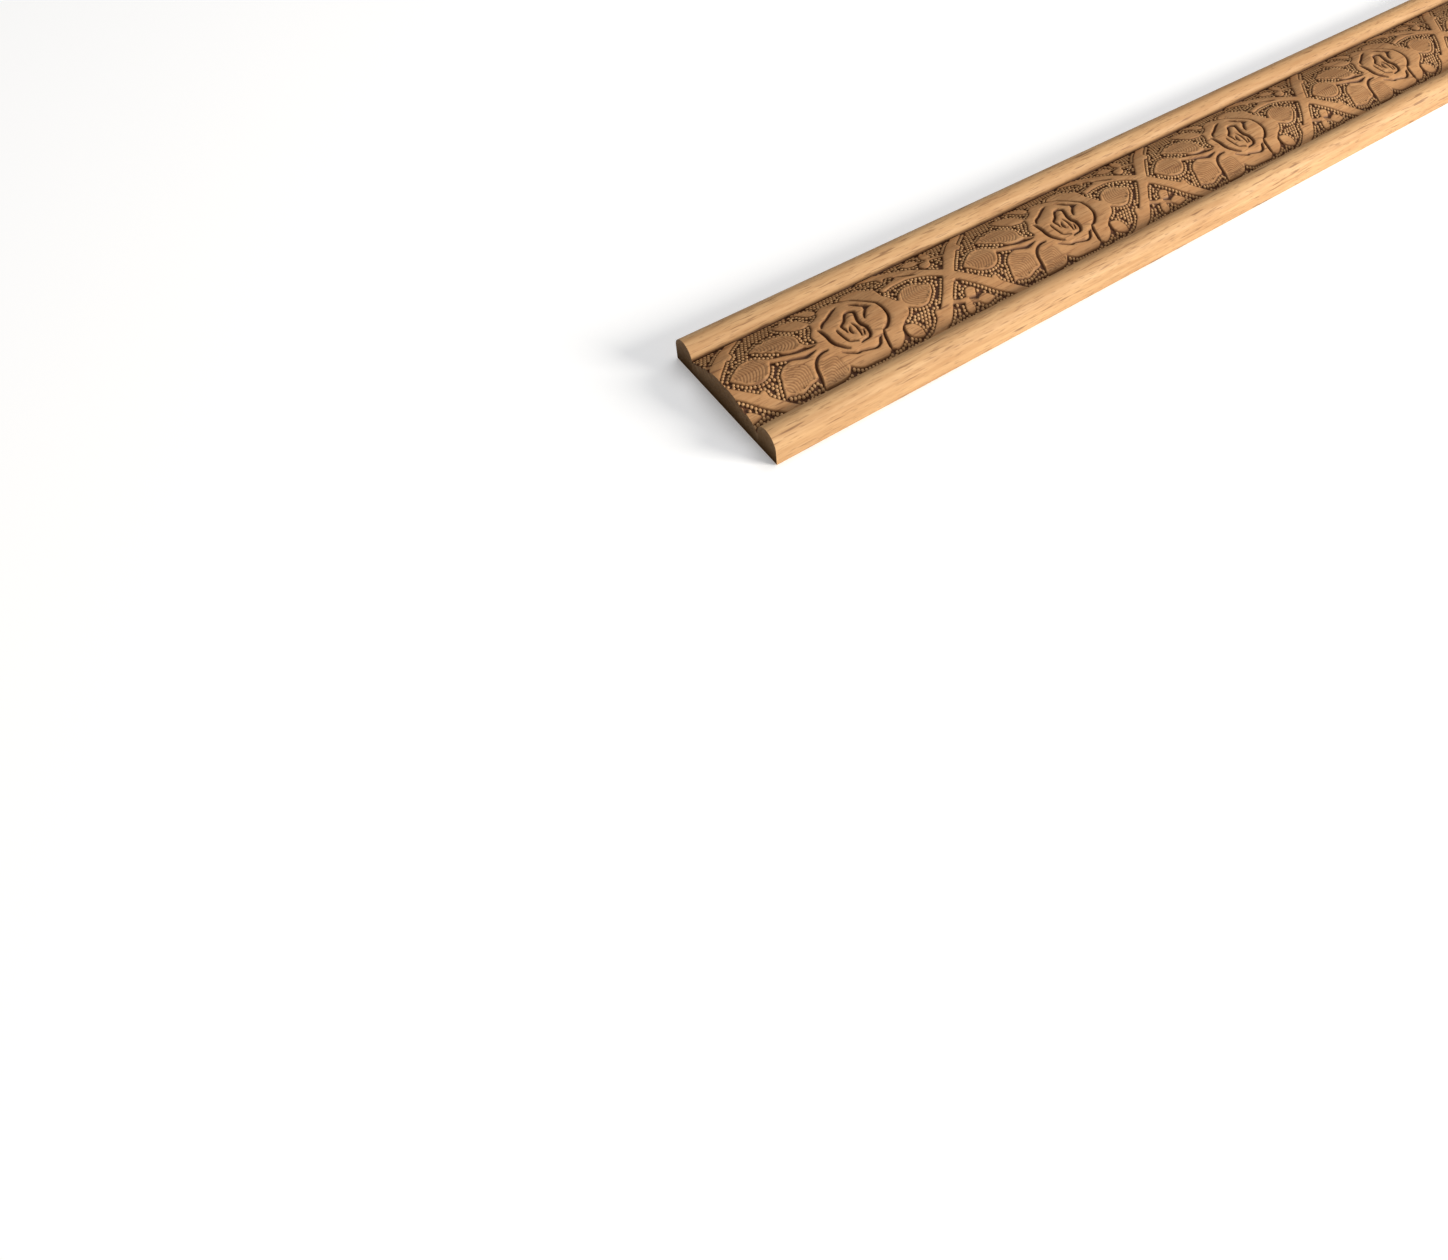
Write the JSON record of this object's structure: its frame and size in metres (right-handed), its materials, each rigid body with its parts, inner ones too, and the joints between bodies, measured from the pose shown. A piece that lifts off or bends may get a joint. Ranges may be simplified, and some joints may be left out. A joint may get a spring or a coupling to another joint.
{
  "type": "carved wooden moulding strip",
  "caption": "Straight wooden trim strip with a crowned band carved with roses, leaves and crossed ribbons between two rounded rails, cut square at both ends.",
  "frame": {"origin": "middle of the flat back", "axes": "+X along the strip, +Y across its width, +Z out of the flat back towards the carved face"},
  "size_m": [0.521, 0.05, 0.0092],
  "materials": {
    "carved_wood": "bare sanded wood, fine grain with short dark pores, browned in the cut lines"
  },
  "bodies": {
    "root": {"moulding": "carved_wood"}
  },
  "joints": []
}
